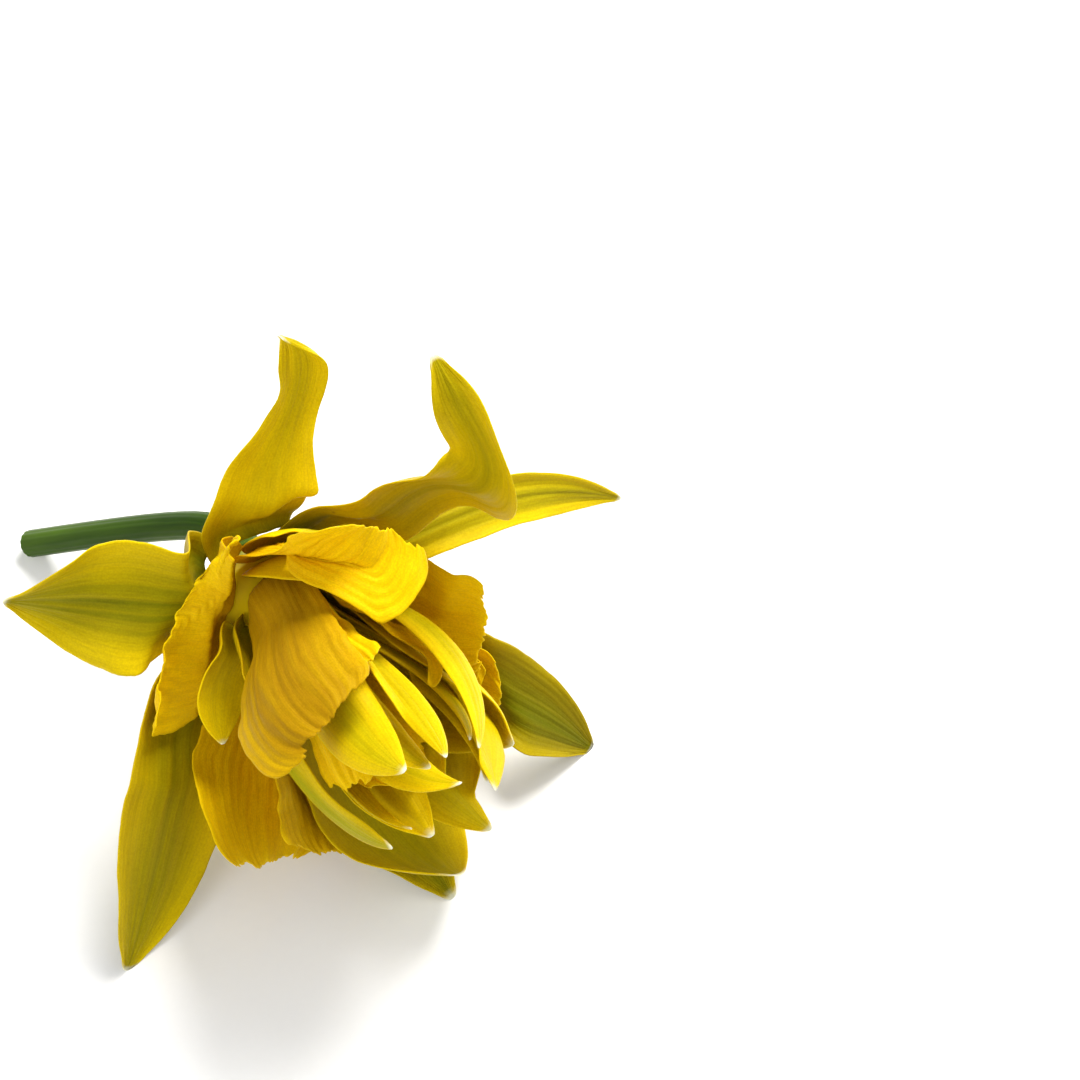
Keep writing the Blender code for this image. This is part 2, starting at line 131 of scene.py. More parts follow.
# From the heart of the flower outwards.  Eight rows were set one by one: the three corona_heart petals,
# tepal_heart, tepal_mouth_base, tepal_mouth_under, corona_ring_far and corona_ring_under.  The other 32
# came out of a separate least-squares fitting program and were rounded, and then two of them,
# tepal_bottom and tepal_inner_right, were changed by hand.
PETALS = (
    Petal("tepal_centre", Habit.INNER, 85, 8, 44, 8.5,
          (2, 0, 40), (-2, -2, 26), (0, 14, 14), (60, 60, 60)),
    Petal("corona_heart_left", Habit.CORONA, 16, 6, 29, 9,
          (10, 8, 12), (0, 0, 0), (0, 0, 0), (90, 80, 70)),
    Petal("corona_heart_right", Habit.CORONA, 222, 6, 29, 9,
          (13, 13, 15), (0, 0, 0), (0, 0, 0), (90, 80, 70)),
    Petal("corona_heart_low", Habit.CORONA, 285, 6, 32, 9,
          (10, 6, 12), (0, 0, 0), (0, 0, 0), (90, 80, 70)),
    Petal("tepal_heart", Habit.INNER, 235, 10, 34, 7,
          (12, 8, 4), (0, 0, 0), (0, 0, 0), (80, 70, 60)),
    Petal("corona_mouth_left", Habit.CORONA, 37, 13, 35, 11,
          (26, 12, -16), (6, 0, -36), (0, 4, 14), (60, 60, 60)),
    Petal("tepal_mouth_left", Habit.INNER, 322, 15, 38, 5,
          (18, 20, -36), (-2, -14, 6), (0, -8, -8), (60, 60, 60)),
    Petal("tepal_front_narrow", Habit.INNER, 85, 15, 41.5, 7,
          (10, 12, 22), (0, -4, 12), (0, 14, 2), (70, 70, 60)),
    Petal("tepal_slim_right", Habit.INNER, 132, 14, 37.5, 3,
          (20, 8, 0), (12, 20, -40), (0, -2, 0), (60, 60, 60)),
    Petal("tepal_mouth_right", Habit.INNER, 154, 15, 40.5, 6.5,
          (16, 12, -30), (8, 32, -26), (0, -12, -14), (70, 70, 60)),
    Petal("tepal_mouth_far", Habit.INNER, 173, 15, 42, 10.5,
          (22, 14, -26), (4, 12, -8), (0, -6, -14), (70, 70, 60)),
    Petal("tepal_mouth_base", Habit.INNER, 211, 15, 36, 9,
          (20, 14, 0), (0, 0, 0), (0, 0, 0), (80, 70, 60)),
    Petal("tepal_mouth_under", Habit.INNER, 275, 15, 38, 9,
          (18, 14, 0), (0, 0, 0), (0, 0, 0), (80, 70, 60)),
    Petal("tepal_mouth_low", Habit.INNER, 232, 18, 41.5, 12.5,
          (16, 16, 36), (-2, 10, 0), (0, -10, -12), (70, 70, 75)),
    Petal("tepal_front", Habit.INNER, 64, 15, 45.5, 10,
          (14, 24, 22), (2, 0, 18), (0, 16, 2), (80, 85, 60)),
    Petal("tepal_front_upper", Habit.INNER, 103, 15, 47, 5,
          (22, 16, 28), (8, -4, -22), (0, 0, 2), (70, 70, 60)),
    Petal("corona_front_right", Habit.CORONA, 127, 18, 28.5, 3,
          (28, 6, -12), (8, 20, -16), (0, 4, -6), (60, 60, 40)),
    Petal("tepal_long_right", Habit.INNER, 145, 19, 45.5, 5,
          (56, 6, -24), (12, 0, -34), (0, -26, 2), (70, 70, 60)),
    Petal("corona_front_upper", Habit.CORONA, 85, 18, 29, 7,
          (32, 30, 22), (-2, 4, 12), (0, 0, -2), (60, 60, 40)),
    Petal("corona_front", Habit.CORONA, 66, 18, 38.5, 21.5,
          (58, 30, -4), (8, -12, 20), (0, 0, 12), (80, 75, 60)),
    Petal("tepal_edge_left", Habit.INNER, 4, 20, 45.5, 9,
          (54, 0, -18), (12, -16, 30), (0, 0, 0), (70, 70, 60)),
    Petal("tepal_inner_right", Habit.INNER, 137, 24, 20.5, 22.5,
          (52, 46, 56), (-52, 46, 74), (0, 18, 32), (70, 80, 70)),
    Petal("tepal_inner_left", Habit.INNER, 335, 24, 20, 10.5,
          (80, 60, 14), (58, 2, -16), (-2, -6, -24), (90, 70, 50)),
    Petal("tepal_inner_bottom", Habit.INNER, 274, 24, 49, 24,
          (50, 38, -42), (-12, 4, -16), (0, 12, 24), (60, 50, 45)),
    Petal("corona_upper_right", Habit.CORONA, 115, 25, 29.5, 19.5,
          (22, 66, 106), (-40, 10, 24), (18, 76, -8), (55, 60, 50)),
    Petal("tepal_inner_top", Habit.INNER, 110, 24, 12, 12,
          (50, 82, 98), (0, 16, -2), (0, -10, -4), (50, 45, 30)),
    Petal("corona_right", Habit.CORONA, 193, 25, 27.5, 23,
          (30, 48, 38), (18, -10, -4), (-2, 12, 22), (60, 60, 60)),
    Petal("corona_ring_far", Habit.CORONA, 224, 25, 29, 14,
          (36, 32, 26), (0, 0, 0), (0, 0, 0), (60, 60, 40)),
    Petal("corona_ring_under", Habit.CORONA, 258, 25, 29, 15,
          (36, 32, 24), (0, 0, 0), (0, 0, 0), (60, 60, 40)),
    Petal("corona_bottom", Habit.CORONA, 294, 25, 35.5, 23,
          (40, 42, 36), (-2, -8, 22), (0, 2, -2), (60, 50, 35)),
    Petal("corona_bottom_left", Habit.CORONA, 300, 25, 36.5, 29,
          (80, 42, 48), (-24, 20, 2), (-4, -16, 22), (60, 45, 50)),
    Petal("corona_lower_right", Habit.CORONA, 200, 25, 34, 16.5,
          (42, 46, 16), (8, 22, -18), (0, -4, -10), (60, 50, 40)),
    Petal("corona_left", Habit.CORONA, 32, 25, 15, 34,
          (68, 120, 76), (-8, -12, 26), (0, -4, -18), (50, 45, 60)),
    Petal("tepal_upper_right", Habit.OUTER, 126, 36, 57.5, 14,
          (58, 98, 34, 122, 140), (26, 40, -2, -36, -22), (-2, 12, 26, 88, 16), (40, 35, 40)),
    Petal("tepal_bottom", Habit.OUTER, 268, 36, 46.5, 16.5,
          (46, 38, 22), (4, 0, -4), (0, -2, 0), (50, 50, 45)),
    Petal("tepal_lower_left", Habit.OUTER, 332, 36, 52.5, 19,
          (76, 64, 70), (16, -14, -16), (-4, -16, -8), (50, 40, 45)),
    Petal("tepal_lower_right", Habit.OUTER, 227, 36, 51.5, 16.5,
          (26, 58, 72), (-12, -2, 14), (-2, 36, 32), (50, 55, 40)),
    Petal("tepal_up", Habit.TWISTED, 93, 36, 42, 17.5,
          (118, 116, 82), (-4, 32, 34, -48), (2, 20, 4, 74), (40, 45, 75)),
    Petal("tepal_right", Habit.OUTER, 181, 36, 53.5, 8.5,
          (78, 88, 74), (-16, 16, 40), (0, 58, 18), (60, 40, 40)),
    Petal("tepal_left", Habit.OUTER, 30, 36, 35, 20.5,
          (96, 134, 106), (8, -18, -6), (-14, -20, 26), (40, 35, 30)),
)


@dataclass(frozen=True)
class Tone:
    """How one petal's colour departs from its habit's.

    Args:
        green: strength of the olive flame along the middle of the inner face.
        back: strength of the green on the outer face.
        painted_shade: how far the petal is darkened towards its finish's dull ochre, as painted shade for
            the lower petals and those that lie in shade.
        nib: length of the white tip as a share of the petal.
    """

    green: float = 0.25
    back: float = 0.5
    painted_shade: float = 0.0
    nib: float = 0.05


# the third value, named on the coronas, is painted shade: it darkens the lower petals and those that lie in
# shade
# petals not named here have the plain Tone
TONES = {
    "tepal_left": Tone(1.0, 0.9, 0.10, 0.03),
    "tepal_up": Tone(0.35, 0.5, 0.0, 0.03),
    "tepal_upper_right": Tone(0.5, 1.0, 0.25, 0.02),
    "tepal_right": Tone(0.7, 0.8, 0.15, 0.02),
    "tepal_lower_right": Tone(0.9, 0.8, 1.0, 0.02),
    "tepal_bottom": Tone(0.9, 1.0, 0.6, 0.05),
    "tepal_lower_left": Tone(0.7, 0.8, 0.30, 0.02),
    "tepal_inner_left": Tone(0.25, 0.25, 0.0, 0.03),
    "tepal_inner_bottom": Tone(0.6, 0.7, 0.7, 0.03),
    "tepal_edge_left": Tone(0.5, 0.7, 0.5, 0.04),
    "tepal_mouth_low": Tone(0.5, 0.6, 0.3, 0.04),
    "tepal_inner_right": Tone(0.2, 0.15, 0.0, 0.05),
    "corona_front": Tone(painted_shade=0.9),
    "corona_bottom": Tone(painted_shade=0.3),
    "corona_lower_right": Tone(painted_shade=0.1),
}


def unit(vectors: Array) -> Array:
    """Return the vectors at length one."""
    return vectors / np.maximum(np.linalg.norm(vectors, axis=-1, keepdims=True), 1e-12)


def along(values: tuple[float, ...] | Array, place: Array) -> Array:
    """Read a smooth curve through evenly spaced stations.

    Args:
        values: the stations, along the first axis.
        place: where to read, 0 to 1.

    Returns:
        The curve's value at each place.
    """
    stations = np.asarray(values, float)
    if len(stations) == 2:
        stations = np.stack([stations[0], stations.mean(axis=0), stations[1]])
    ends = np.concatenate([[2 * stations[0] - stations[1]], stations, [2 * stations[-1] - stations[-2]]])
    x = np.clip(place, 0, 1) * (len(stations) - 1)
    i = np.minimum(x.astype(int), len(stations) - 2)
    t = (x - i).reshape(x.shape + (1,) * (stations.ndim - 1))
    a, b, c, d = ends[i], ends[i + 1], ends[i + 2], ends[i + 3]
    cubic = (3 * b - a - 3 * c + d) * t ** 3
    return 0.5 * (2 * b + (c - a) * t + (2 * a - 5 * b + 4 * c - d) * t ** 2 + cubic)


def wander(place: Array, seed: float, octaves: int = 3, pitch: float = 1.0) -> Array:
    """Give a gentle repeatable wave that never quite repeats.

    Args:
        place: where along the wave, in turns of its longest part.
        seed: which wave.
        octaves: how many finer waves are added.
        pitch: turns per unit of place.

    Returns:
        Values of about -1 to 1.
    """
    total = np.zeros_like(place, dtype=float)
    size = 0.0
    for step in range(octaves):
        share = 0.55 ** step
        rate = pitch * 1.87 ** step
        total += share * np.sin(2 * math.pi * rate * place + 1.7 * seed + 2.3 * step * (1 + seed % 1.3))
        size += share
    return total / size


@dataclass(frozen=True)
class FlowerFrame:
    """Where the throat stands and which way the flower looks.

    Args:
        rise: angle of the axis above level.
        right: share of the axis that points to +X.
        throat: where the axis leaves the dome, from the world's origin.
        dome: radius of the dome that carries the petals.
        floor: height under which petals are pressed flat.
    """

    rise: float = 6.0
    right: float = 0.575
    throat: tuple[float, float, float] = (-2.07, 6.36, 29.6)
    dome: float = 10.0
    floor: float = 0.02

    def directions(self) -> Array:
        """Return columns for the flower's side, up and axis."""
        up_share = math.sin(math.radians(self.rise))
        axis = np.array([self.right, -math.sqrt(1.0 - self.right ** 2 - up_share ** 2), up_share])
        side = unit(np.array([axis[1], -axis[0], 0.0]))
        up = unit(np.array([0.0, 0.0, 1.0]) - up_share * axis)
        return np.stack([side, up, axis], axis=1)

    def to_world(self, points: Array) -> Array:
        """Take points about the dome's centre, mm, to the world, metres."""
        moved = (np.asarray(points) - np.array([0.0, 0.0, self.dome])) @ self.directions().T
        return (moved + np.array(self.throat)) * MM


@dataclass
class Layers:
    """Lays petals over each other, as the polar angle taken at each azimuth and distance.

    Args:
        azimuths: cells round the axis.
        start: distance of the first cell from the dome's centre.
        step: length of a cell.
        size: cells outwards.
        thickness: of a petal.
        clearance: least gap between the middles of two petals.
        spread: how far to each side a petal's points count, mm.
    """

    azimuths: int = 180
    start: float = 9.0
    step: float = 0.6
    size: int = 140
    thickness: float = 0.45
    clearance: float = 0.55
    spread: tuple[float, ...] = (-0.6, -0.3, 0.0, 0.3, 0.6)
    taken: Array = field(init=False)

    def __post_init__(self) -> None:
        """Start with nothing taken."""
        self.taken = np.zeros((self.azimuths, self.size))

    @staticmethod
    def polar(points: Array) -> tuple[Array, Array, Array]:
        """Return distance, polar angle from the axis and azimuth."""
        reach = np.linalg.norm(points, axis=-1)
        angle = np.arccos(np.clip(points[..., 2] / reach, -1, 1))
        return reach, angle, np.arctan2(points[..., 1], points[..., 0])

    @staticmethod
    def neighbours(values: Array) -> Array:
        """Return the field shifted over a three by three window."""
        padded = np.pad(values, ((1, 1), (1, 1)), mode="edge")
        rows, cols = values.shape
        return np.stack([padded[a:a + rows, b:b + cols] for a in range(3) for b in range(3)])

    @staticmethod
    def halve(sheet: Array) -> Array:
        """Return the grid at half its spacing both ways."""
        rows = np.empty((2 * sheet.shape[0] - 1,) + sheet.shape[1:])
        rows[::2] = sheet
        rows[1::2] = 0.5 * (sheet[1:] + sheet[:-1])
        fine = np.empty((rows.shape[0], 2 * rows.shape[1] - 1, 3))
        fine[:, ::2] = rows
        fine[:, 1::2] = 0.5 * (rows[:, 1:] + rows[:, :-1])
        return fine

    def read(self, reach: Array, azimuth: Array) -> Array:
        """Return the polar angle already taken at each azimuth and distance."""
        x = np.mod(azimuth / (2 * math.pi) * self.azimuths, self.azimuths)
        y = np.clip((reach - self.start) / self.step, 0, self.size - 1.001)
        i = x.astype(int) % self.azimuths
        j = y.astype(int)
        a, b = x - np.floor(x), y - j
        k = (i + 1) % self.azimuths
        near = (1 - a) * self.taken[i, j] + a * self.taken[k, j]
        far = (1 - a) * self.taken[i, j + 1] + a * self.taken[k, j + 1]
        return (1 - b) * near + b * far

    def drape(self, sheet: Array) -> Array:
        """Open the sheet wherever it would meet what is already placed.

        Args:
            sheet: grid of points about the dome's centre.

        Returns:
            The opened grid.
        """
        reach, angle, azimuth = self.polar(sheet)
        taken = self.read(reach, azimuth)
        least = np.where(taken > 0, taken + self.clearance / reach, 0)
        lift = np.maximum(least - angle, 0)
        angle = angle + self.neighbours(self.neighbours(lift).max(axis=0)).mean(axis=0)
        flat = reach * np.sin(angle)
        return np.stack([flat * np.cos(azimuth), flat * np.sin(azimuth), reach * np.cos(angle)], axis=-1)

    def add(self, sheet: Array) -> None:
        """Record the upper face of a sheet, one cell wider all round."""
        reach, angle, azimuth = self.polar(self.halve(self.halve(sheet)))
        turn = np.array(self.spread)[:, None, None] / np.maximum(reach * np.sin(angle), 1.0)
        angle = angle + 0.5 * self.thickness / reach
        i = np.round((azimuth + turn) / (2 * math.pi) * self.azimuths).astype(int) % self.azimuths
        j = np.clip(np.round((reach - self.start) / self.step).astype(int), 0, self.size - 1)
        layer = np.zeros_like(self.taken)
        np.maximum.at(layer, (i, np.broadcast_to(j, i.shape)), np.broadcast_to(angle, i.shape))
        wide = layer
        for aside in (-1, 0, 1):
            for ahead in (-1, 0, 1):
                wide = np.maximum(wide, np.roll(layer, (aside, ahead), axis=(0, 1)))
        self.taken = np.maximum(self.taken, wide)


@dataclass(frozen=True)
class Sheet:
    """Lays out one petal's middle surface before it is draped.

    Args:
        frame: the flower's directions.
        seat_gap: from the dome to the petals' bases.
        rows: cells along a petal.
        cols: cells across it.
        tip_share: least share of the full width.
        stations: steps along the midrib.
    """

    frame: FlowerFrame
    seat_gap: float = 0.4
    rows: int = 24
    cols: int = 12
    tip_share: float = 0.1
    stations: int = 60

    def share(self, outline: Outline, u: Array) -> Array:
        """Return the share of the full width at each place along."""
        rise = outline.base + (1 - outline.base) * np.sin(0.5 * math.pi * np.clip(u / outline.widest, 0, 1))
        fall = (1 - np.clip((u - outline.widest) / (1 - outline.widest), 0, 1) ** outline.point) ** 0.8
        factor = along(outline.pinch, u)
        return np.maximum(np.where(u < outline.widest, rise, fall) * factor, self.tip_share)

    def lay(self, petal: Petal) -> Array:
        """Return the grid of points over the middle of a petal, about the dome's centre."""
        fine = np.linspace(0, 1, self.stations + 1)
        lean = np.radians(along(petal.lean, fine))
        sway = np.radians(along(petal.sway, fine))
        roll = np.radians(along(petal.roll, fine))
        azimuth = math.radians(petal.azimuth)
        outward = np.array([math.cos(azimuth), math.sin(azimuth), 0.0])
        around = np.array([-math.sin(azimuth), math.cos(azimuth), 0.0])
        axis = np.array([0.0, 0.0, 1.0])
        rise = np.cos(lean)[:, None] * axis + np.sin(lean)[:, None] * outward
        tangent = np.cos(sway)[:, None] * rise + np.sin(sway)[:, None] * around
        seat = math.radians(petal.seat)
        start = (self.frame.dome + self.seat_gap) * (math.sin(seat) * outward + math.cos(seat) * axis)
        steps = 0.5 * (tangent[1:] + tangent[:-1]) * (petal.length / self.stations)
        rib = np.concatenate([[start], start + np.cumsum(steps, axis=0)])
        flat = unit(around - (tangent @ around)[:, None] * tangent)
        inward = np.cross(tangent, flat)
        across = np.cos(roll)[:, None] * flat + np.sin(roll)[:, None] * inward
        inward = np.cos(roll)[:, None] * inward - np.sin(roll)[:, None] * flat
        u = np.linspace(0, 1, self.rows + 1)
        rib, across, inward = (
            np.stack([np.interp(u, fine, part[:, k]) for k in range(3)], axis=1)
            for part in (rib, across, inward)
        )
        across, inward = unit(across), unit(inward)
        half = 0.5 * petal.width * self.share(OUTLINES[petal.habit], u)
        arc = np.radians(along(petal.cup, u))
        turn = np.linspace(-0.5, 0.5, self.cols + 1)[None, :] * arc[:, None]
        radius = (2 * half / arc)[:, None]
        sheet = (rib[:, None, :] + across[:, None, :] * (radius * np.sin(turn))[:, :, None]
                 + inward[:, None, :] * (radius * (1 - np.cos(turn)))[:, :, None])
        reach = np.linalg.norm(sheet, axis=2)
        seated = (self.frame.dome + self.seat_gap - reach[0])[None, :] * ((1 - u) ** 4)[:, None]
        return sheet * ((reach + seated) / reach)[:, :, None]


@dataclass(frozen=True)
class Relief:
    """Surface relief and margin of one habit, in mm.

    Args:
        detail: fine cells for each cell of the laid-out sheet.
        thickness: of the blade at its middle.
        thin: share of the thickness lost at the margin.
        groove: depth of the midrib's groove.
        folds: height and number of the lengthwise folds.
        ribs: height and spacing of the fine lengthwise wrinkles.
        ripple: height and pitch of the wave along the side margins.
        notch: depth of the torn, notched end as a share of the length.
        frill: height of the ruffle at the far margin.
    """

    detail: int
    thickness: float
    thin: float
    groove: float
    folds: tuple[float, float]
    ribs: tuple[float, float]
    ripple: tuple[float, float]
    notch: float
    frill: float


RELIEFS = {
    Habit.OUTER: Relief(5, 0.40, 0.55, 0.30, (0.26, 2.0), (0.045, 1.3), (0.42, 2.2), 0.0, 0.0),
    Habit.TWISTED: Relief(5, 0.40, 0.55, 0.22, (0.20, 2.0), (0.045, 1.3), (0.45, 2.6), 0.0, 0.0),
    Habit.INNER: Relief(4, 0.38, 0.55, 0.12, (0.08, 1.5), (0.03, 1.1), (0.15, 2.0), 0.0, 0.0),
    Habit.CORONA: Relief(6, 0.34, 0.60, 0.04, (0.16, 3.0), (0.11, 1.5), (0.30, 3.4), 0.055, 0.36),
}


@dataclass
class Bloom:
    """All the petals, from the heart outwards.

    Args:
        frame: the flower's directions.
        finishes: each habit's material.
        layers: the petals laid so far.
        narrow: an inner tepal under this width, mm, needs fewer cells across.
        narrow_detail: fine cells across it for each cell of the laid-out sheet.
        pressed: share kept of what reaches under the floor.
    """

    frame: FlowerFrame
    finishes: dict[Habit, bpy.types.Material]
    layers: Layers = field(default_factory=Layers)
    narrow: float = 12.0
    narrow_detail: int = 3
    pressed: float = 0.02

    @staticmethod
    def resample(grid: Array, u: Array, v: Array) -> Array:
        """Read a grid smoothly at fine places.

        Args:
            grid: rows by columns by 3.
            u: places along, rows by columns, 0 to 1.
            v: places across, rows by columns, 0 to 1.

        Returns:
            Points at each place.
        """
        points = np.empty(u.shape + (3,))
        dense = np.linspace(0, 1, 8 * (grid.shape[1] - 1) + 1)
        wide = np.stack([along(row, dense) for row in grid])
        for k in range(u.shape[1]):
            strip = along(wide, u[:, k])
            x = np.clip(v[:, k], 0, 1) * (len(dense) - 1)
            i = np.minimum(x.astype(int), len(dense) - 2)
            t = (x - i)[:, None]
            rows_at = np.arange(len(x))
            points[:, k] = strip[rows_at, i] * (1 - t) + strip[rows_at, i + 1] * t
        return points

    @staticmethod
    def normals(points: Array) -> Array:
        """Return the grid's normals."""
        return unit(np.cross(np.gradient(points, axis=0), np.gradient(points, axis=1)))

    def margin(self, petal: Petal, relief: Relief, seed: float, u: Array, v: Array) -> tuple[Array, Array]:
        """Pull the even grid in to a natural margin.

        Args:
            petal: the petal.
            relief: its relief.
            seed: which margin.
            u: places along.
            v: places across, -1 to 1.

        Returns:
            Places along and across of the shaped grid.
        """
        torn = relief.notch > 0
        lobes = 0.5 + 0.5 * wander(v, seed, 2, 1.1)
        turns = petal.width / 7.0 * (v + 0.2 * wander(v, seed + 4.1, 2, 1.3))
        scallop = (0.5 + 0.5 * np.cos(2 * math.pi * turns)) ** 2
        small = 0.5 + 0.5 * wander(v, seed + 4.7, 1, petal.width / 2.8)
        depth = 0.5 + 0.5 * wander(v, seed + 5.3, 1, 1.9)
        cut = relief.notch * (0.75 + 0.45 * lobes + 0.35 * scallop * depth + 0.12 * small + 0.6 * v ** 4)
        cut = cut + (0.0 if torn else 0.02) * v ** 4
        side = 0.5 + 0.5 * wander(u, seed + 2.0, 4, 2.4 + 0.06 * petal.length)
        pull = 1 - (0.05 if torn else 0.035) * side * np.sin(math.pi * np.clip(u, 0, 1))
        return u * (1 - cut * u ** 2), v * pull

    def height(self, petal: Petal, relief: Relief, seed: float, u: Array, v: Array) -> Array:
        """Return how far each place stands off the middle surface, mm."""
        body = np.sin(math.pi * np.clip(u, 0, 1)) ** 0.5
        rim = np.abs(v) ** 4
        groove = -relief.groove * np.exp(-(v / 0.13) ** 2) * body
        height, number = relief.folds
        folds = height * np.cos(2 * math.pi * number * 0.5 * (v + 0.12 * wander(u, seed, 2, 1.1))) * body
        height, spacing = relief.ribs
        count = 0.5 * petal.width / spacing
        phase = count * (v + 0.05 * wander(u + v, seed + 1.0, 3, 1.6))
        grow = 0.35 + 0.9 * u ** 2
        wave = np.sin(2 * math.pi * phase) + 0.6 * wander(phase, seed + 3.0, 2, 0.37)
        ribs = height * grow * wave * body ** 0.3
        height, pitch = relief.ripple
        ripple = height * rim * wander(u + 0.5 * np.sign(v), seed + 5.0, 2, pitch) * body
        far = np.clip((u - 0.6) / 0.4, 0, 1) ** 2
        frill = relief.frill * far * wander(v, seed + 6.0, 2, petal.width / 13.0)
        return groove + folds + ribs + ripple + frill

    def tone(self, petal: Petal, seed: float, u: Array, v: Array, outer: bool) -> Array:
        """Return each point's green, nib, painted shade and blush, 0 to 1."""
        tone = TONES.get(petal.name, Tone())
        streak = wander(v * petal.width / 4.0 + 0.2 * u, seed + 7.0, 3, 0.9)
        width = 0.60 + 0.10 * wander(u, seed, 2, 1.2)
        flame = np.exp(-(v / width) ** 2) * np.clip(1.35 - 0.5 * u, 0, 1) * (0.84 + 0.16 * streak)
        if petal.habit is Habit.CORONA:
            green = 0.12 * np.exp(-(u / 0.25) ** 2) * np.ones_like(v)
            nib = np.zeros_like(u)
        else:
            strength = tone.back if outer else tone.green
            green = strength * flame + (0.3 * tone.back if outer else 0.0) * (1 - np.abs(v) ** 3)
            green = np.clip(green + 0.5 * np.exp(-(u / 0.10) ** 2), 0, 1)
            length = tone.nib * 20.0 / petal.length
            end = 1 - u + 0.8 * length * v ** 2
            nib = np.clip(1.3 - end / length, 0, 1) ** 2
        # painted shade: darkens the petal by its shade strength, less towards the margins
        clear = 1 - 0.45 * np.abs(v) ** 3
        painted_shade = np.clip(tone.painted_shade * clear * (1 + 0.06 * streak), 0, 1) * np.ones_like(u)
        blush = np.clip(1 - u * 1.35, 0, 1) ** 1.4
        return np.stack([green, nib, painted_shade, blush], axis=-1)

    def mesh(self, petal: Petal, sheet: Array) -> bpy.types.Mesh:
        """Build the closed blade of one petal.

        Args:
            petal: the petal.
            sheet: its draped middle surface.

        Returns:
            A mesh with its place, its flow and its tone.
        """
        relief = RELIEFS[petal.habit]
        seed = (sum(ord(letter) * (k + 3) for k, letter in enumerate(petal.name)) % 997) / 31.0
        slim = petal.habit is Habit.INNER and petal.width < self.narrow
        rows = (sheet.shape[0] - 1) * relief.detail // 2 + 1
        cols = (sheet.shape[1] - 1) * (self.narrow_detail if slim else relief.detail) + 1
        u, v = np.meshgrid(np.linspace(0, 1, rows), np.linspace(-1, 1, cols), indexing="ij")
        shaped_u, shaped_v = self.margin(petal, relief, seed, u, v)
        middle = self.resample(sheet, shaped_u, 0.5 * (shaped_v + 1))
        middle = middle + self.normals(middle) * self.height(petal, relief, seed, u, v)[..., None]
        edge = np.maximum(np.abs(v) ** 8, u ** 14)
        half = 0.5 * relief.thickness * (1 - relief.thin * edge)
        lift = self.normals(middle) * half[..., None]
        faces_up, faces_down = middle + lift, middle - lift
        towards_axis = np.sum(lift * np.array([0, 0, 1.0]), axis=-1).mean() > 0
        points = np.concatenate([faces_up.reshape(-1, 3), faces_down.reshape(-1, 3)])
        place = self.frame.to_world(points)
        lowest = self.frame.floor * MM
        flattened = lowest + self.pressed * (place[:, 2] - lowest)
        place[:, 2] = np.where(place[:, 2] < lowest, flattened, place[:, 2])
        place[:, 2] = np.maximum(place[:, 2], 0.0)
        mesh = bpy.data.meshes.new(petal.name)
        mesh.from_pydata(place.tolist(), [], self.shell(rows, cols))
        tones = [self.tone(petal, seed, u, v, outer) for outer in (not towards_axis, towards_axis)]
        self.write_attributes(mesh, petal, seed, u, v, tones)
        return mesh

    @staticmethod
    def shell(rows: int, cols: int) -> list[tuple[int, ...]]:
        """Return the faces of a closed blade of two grids and the rim that joins them."""
        index = np.arange(rows * cols).reshape(rows, cols)
        a, b, c, d = index[:-1, :-1], index[:-1, 1:], index[1:, 1:], index[1:, :-1]
        upper = np.stack([a, b, c, d], axis=-1).reshape(-1, 4)
        lower = np.stack([a, d, c, b], axis=-1).reshape(-1, 4) + rows * cols
        ring = np.concatenate([index[0, :], index[1:, -1], index[-1, -2::-1], index[-2:0:-1, 0]])
        after = np.roll(ring, -1)
        rim = np.stack([ring, ring + rows * cols, after + rows * cols, after], axis=-1)
        return [tuple(face) for face in np.concatenate([upper, lower, rim]).tolist()]

    @staticmethod
    def write_attributes(mesh: bpy.types.Mesh, petal: Petal, seed: float, u: Array, v: Array,
                         tones: list[Array]) -> None:
        """Write the flow along the petal and its tones on both faces."""
        flow = np.stack([0.5 * v * petal.width, u * petal.length, np.full_like(u, seed)], axis=-1)
        write_points(mesh, "flow", "FLOAT_VECTOR", np.stack([flow, flow]))
        write_points(mesh, "tone", "FLOAT_COLOR", np.stack(tones))
        smooth_faces(mesh)
        mesh.update()

    def build(self) -> None:
        """Drape, shape and dress every petal in order."""
        layout = Sheet(self.frame)
        for petal in PETALS:
            sheet = self.layers.drape(layout.lay(petal))
            self.layers.add(sheet)
            mesh = self.mesh(petal, sheet)
            mesh.materials.append(self.finishes[petal.habit])
            settle(mesh, petal.name + "_blade", petal.name)


def write_points(mesh: bpy.types.Mesh, name: str, kind: str, values: Array) -> None:
    """Write one named value, vector or colour for each point of a mesh."""
    part = {"FLOAT": "value", "FLOAT_VECTOR": "vector", "FLOAT_COLOR": "color"}[kind]
    mesh.attributes.new(name, kind, "POINT").data.foreach_set(part, np.ravel(values))


def smooth_faces(mesh: bpy.types.Mesh) -> None:
    """Shade every face of a mesh smooth."""
    mesh.polygons.foreach_set("use_smooth", np.ones(len(mesh.polygons), dtype=bool))


def settle(mesh: bpy.types.Mesh, name: str, node: str) -> None:
    """Make a finished mesh a piece of the flower, in place of its CAD node."""
    piece = bpy.data.objects.new(name, mesh)
    bpy.context.scene.collection.objects.link(piece)
    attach(piece, "root")
    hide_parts(node)
    LOG.info("%s stands for %s, %d faces", piece.name, node, len(piece.data.polygons))


